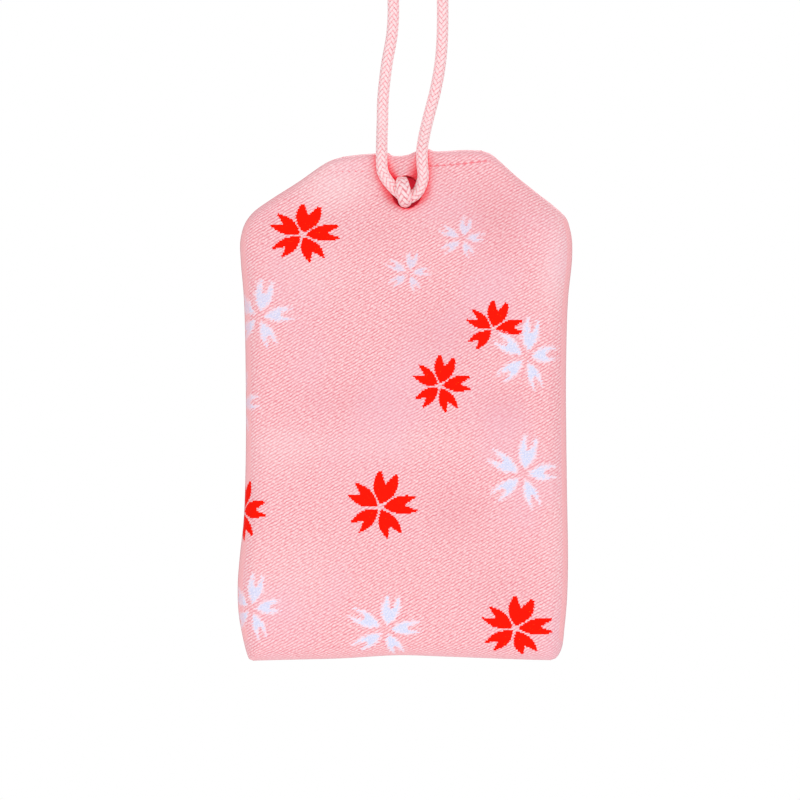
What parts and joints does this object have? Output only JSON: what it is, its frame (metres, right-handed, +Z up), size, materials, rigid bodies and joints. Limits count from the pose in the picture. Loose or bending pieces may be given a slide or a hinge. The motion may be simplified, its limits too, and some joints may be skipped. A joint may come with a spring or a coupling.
{
  "type": "omamori charm",
  "caption": "Flat brocade amulet pouch with sloping shoulders, scattered cherry blossoms and a stitched mouth, hung by a doubled round braid through a punched hole, with a bow knot on its front.",
  "frame": {"origin": "hang point, on the inside of the top of the cord loop", "axes": "+Z up, +X to the right as the picture shows the charm, +Y away from the viewer, towards the front of the charm with its bow knot"},
  "size_m": [0.0452, 0.0124, 0.1311],
  "materials": {
    "brocade": "satin twill brocade with woven blossoms",
    "lining": "plain thin cotton",
    "thread": "sewing thread",
    "braid": "soft round braid with a silky sheen",
    "card": "plain stiff card",
    "paper": "folded white paper",
    "pale_wood": "thin bare wood"
  },
  "bodies": {
    "cord_loop": {"hanging_loop": "braid"},
    "loop_strands": {"loop_strand_left": "braid", "loop_strand_right": "braid"},
    "pouch": {"back_panel": "brocade", "front_panel": "brocade", "back_lining": "lining", "front_lining": "lining", "seam_thread": "thread", "mouth_stitch_left": "thread", "mouth_stitch_right": "thread", "core_card": "card", "charm_wrapper": "paper", "charm_tablet": "pale_wood", "cord_bight": "braid", "front_knot": "braid"}
  },
  "joints": [
    {"name": "cord_twist", "type": "hinge", "parent": "cord_loop", "child": "loop_strands", "pos_m": [0, 0, -0.02], "axis": [0, 0, 1], "range_deg": [-180, 180]},
    {"name": "pouch_swing", "type": "hinge", "parent": "loop_strands", "child": "pouch", "pos_m": [0, 0, -0.0555], "axis": [1, 0, 0], "range_deg": [-90, 90]}
  ]
}
